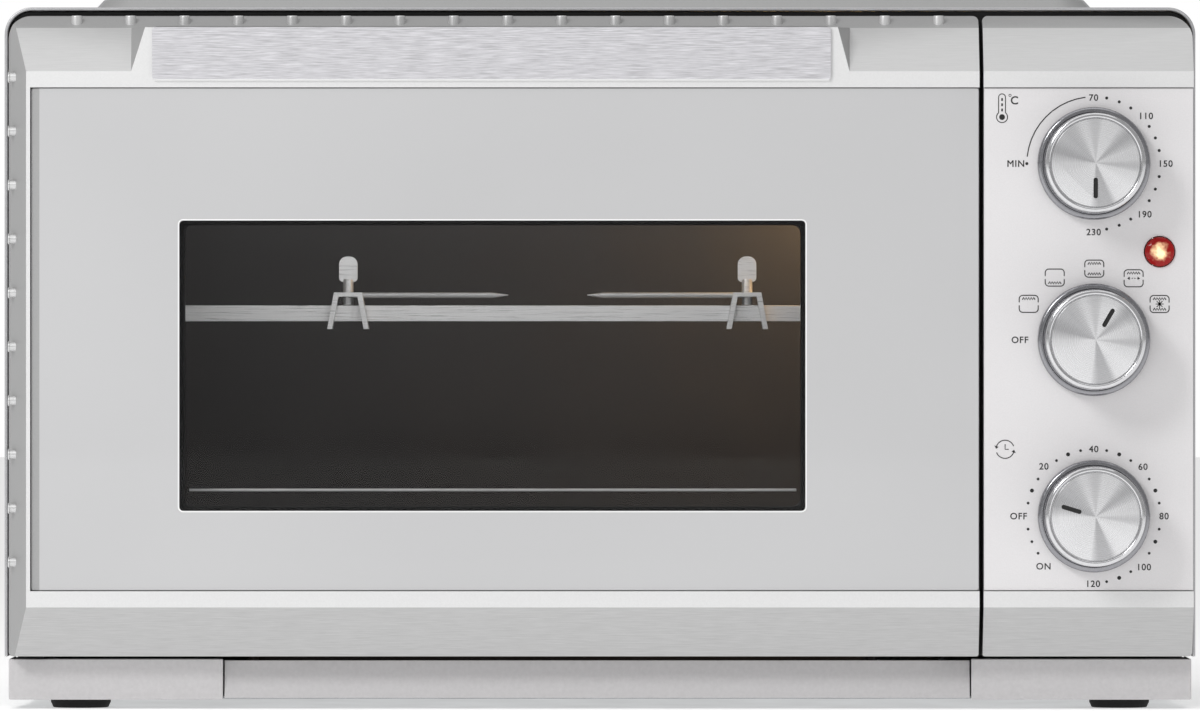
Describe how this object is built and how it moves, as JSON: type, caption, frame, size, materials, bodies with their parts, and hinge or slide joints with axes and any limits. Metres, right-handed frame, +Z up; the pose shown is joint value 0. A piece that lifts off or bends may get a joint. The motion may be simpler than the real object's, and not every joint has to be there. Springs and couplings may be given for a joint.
{
  "type": "rotisserie oven",
  "caption": "Countertop rotisserie oven: sheet housing, drop-down glass door with handle tab, control column with knobs, motor-driven spit with forks, slide-out crumb tray.",
  "frame": {"origin": "under the middle of the overall box, on the surface the feet stand on", "axes": "+X to the user's right (control side), +Y to the back, +Z up; the door faces -Y"},
  "size_m": [0.435, 0.374, 0.26],
  "materials": {
    "housing_paint": "satin silver paint",
    "zinc_sheet": "galvanised sheet",
    "dark_enamel": "charcoal enamel",
    "door_moulding": "brushed silver moulding",
    "control_white": "satin white print plate",
    "spit_steel": "bright steel",
    "chrome": "chromed knob",
    "spun_aluminium": "spun face",
    "handle_aluminium": "brushed plate",
    "painted_glass": "silver back paint with a clear window",
    "clear_glass": "clear tempered glass",
    "rubber": "matte black",
    "black_plastic": "matte black",
    "heater_sheath": "oxidised steel",
    "switch_plastic": "moulded plastic",
    "lamp_red": "translucent red",
    "print_grey": "dark grey print"
  },
  "bodies": {
    "housing": {"outer_housing": "housing_paint", "plinth_trim_left": "housing_paint", "plinth_trim_right": "housing_paint", "rear_panel": "zinc_sheet", "base_pan": "zinc_sheet", "front_frame": "zinc_sheet", "fan_motor": "zinc_sheet", "spit_motor": "zinc_sheet", "hinge_bracket_left": "zinc_sheet", "hinge_bracket_right": "zinc_sheet", "cavity_wall_left": "dark_enamel", "cavity_wall_right": "dark_enamel", "cavity_ceiling": "dark_enamel", "cavity_back": "dark_enamel", "cavity_floor": "dark_enamel", "fan_grille": "dark_enamel", "control_fascia": "door_moulding", "control_plate": "control_white", "spit_support": "spit_steel", "thermostat_probe": "spit_steel", "foot_front_left": "rubber", "foot_front_right": "rubber", "foot_rear_left": "rubber", "foot_rear_right": "rubber", "cord_gland": "black_plastic", "rear_spacer_left": "black_plastic", "rear_spacer_right": "black_plastic", "heater_upper_front": "heater_sheath", "heater_upper_rear": "heater_sheath", "heater_lower_front": "heater_sheath", "heater_lower_rear": "heater_sheath", "thermostat": "switch_plastic", "function_switch": "switch_plastic", "timer_unit": "switch_plastic", "lamp_holder": "switch_plastic", "lamp_lens": "lamp_red"},
    "door": {"door_frame": "door_moulding", "door_outer_glass": "painted_glass", "door_inner_glass": "clear_glass", "door_liner": "dark_enamel", "door_seal": "rubber", "handle_plate": "handle_aluminium", "hinge_arm_left": "zinc_sheet", "hinge_arm_right": "zinc_sheet"},
    "crumb_tray": {"crumb_tray": "zinc_sheet", "crumb_tray_front": "housing_paint"},
    "temperature_knob": {"temperature_knob": "chrome", "temperature_knob_face": "spun_aluminium"},
    "function_knob": {"function_knob": "chrome", "function_knob_face": "spun_aluminium"},
    "timer_knob": {"timer_knob": "chrome", "timer_knob_face": "spun_aluminium"},
    "spit": {"spit_rod": "spit_steel", "spit_drive_socket": "spit_steel"},
    "fork_left": {"fork_left": "spit_steel"},
    "fork_right": {"fork_right": "spit_steel"},
    "wing_screw_left": {"wing_screw_left": "spit_steel"},
    "wing_screw_right": {"wing_screw_right": "spit_steel"},
    "fan": {"fan_wheel": "spit_steel"}
  },
  "joints": [
    {"name": "door_hinge", "type": "hinge", "parent": "housing", "child": "door", "pos_m": [0, -0.152, 0.024], "axis": [1, 0, 0], "range_deg": [0, 90]},
    {"name": "crumb_tray_slide", "type": "slide", "parent": "housing", "child": "crumb_tray", "axis": [0, 1, 0], "range_m": [-0.28, 0]},
    {"name": "temperature_turn", "type": "hinge", "parent": "housing", "child": "temperature_knob", "pos_m": [0.1795, -0.167, 0.1988], "axis": [0, 1, 0], "range_deg": [-270, 0]},
    {"name": "function_turn", "type": "hinge", "parent": "housing", "child": "function_knob", "pos_m": [0.1795, -0.167, 0.1347], "axis": [0, 1, 0], "range_deg": [-120, 30]},
    {"name": "timer_turn", "type": "hinge", "parent": "housing", "child": "timer_knob", "pos_m": [0.1795, -0.167, 0.0706], "axis": [0, 1, 0], "range_deg": [-62, 253]},
    {"name": "spit_spin", "type": "hinge", "parent": "housing", "child": "spit", "pos_m": [0, 0.005, 0.145], "axis": [1, 0, 0], "continuous": true},
    {"name": "fork_left_slide", "type": "slide", "parent": "spit", "child": "fork_left", "axis": [1, 0, 0], "range_m": [-0.055, 0.01]},
    {"name": "fork_right_slide", "type": "slide", "parent": "spit", "child": "fork_right", "axis": [1, 0, 0], "range_m": [-0.01, 0.03]},
    {"name": "wing_screw_left_turn", "type": "hinge", "parent": "fork_left", "child": "wing_screw_left", "pos_m": [-0.095, 0.005, 0.153], "axis": [0, 0, 1], "continuous": true},
    {"name": "wing_screw_right_turn", "type": "hinge", "parent": "fork_right", "child": "wing_screw_right", "pos_m": [0.0555, 0.005, 0.153], "axis": [0, 0, 1], "continuous": true},
    {"name": "fan_spin", "type": "hinge", "parent": "housing", "child": "fan", "pos_m": [0, 0.085, 0.125], "axis": [1, 0, 0], "continuous": true}
  ]
}
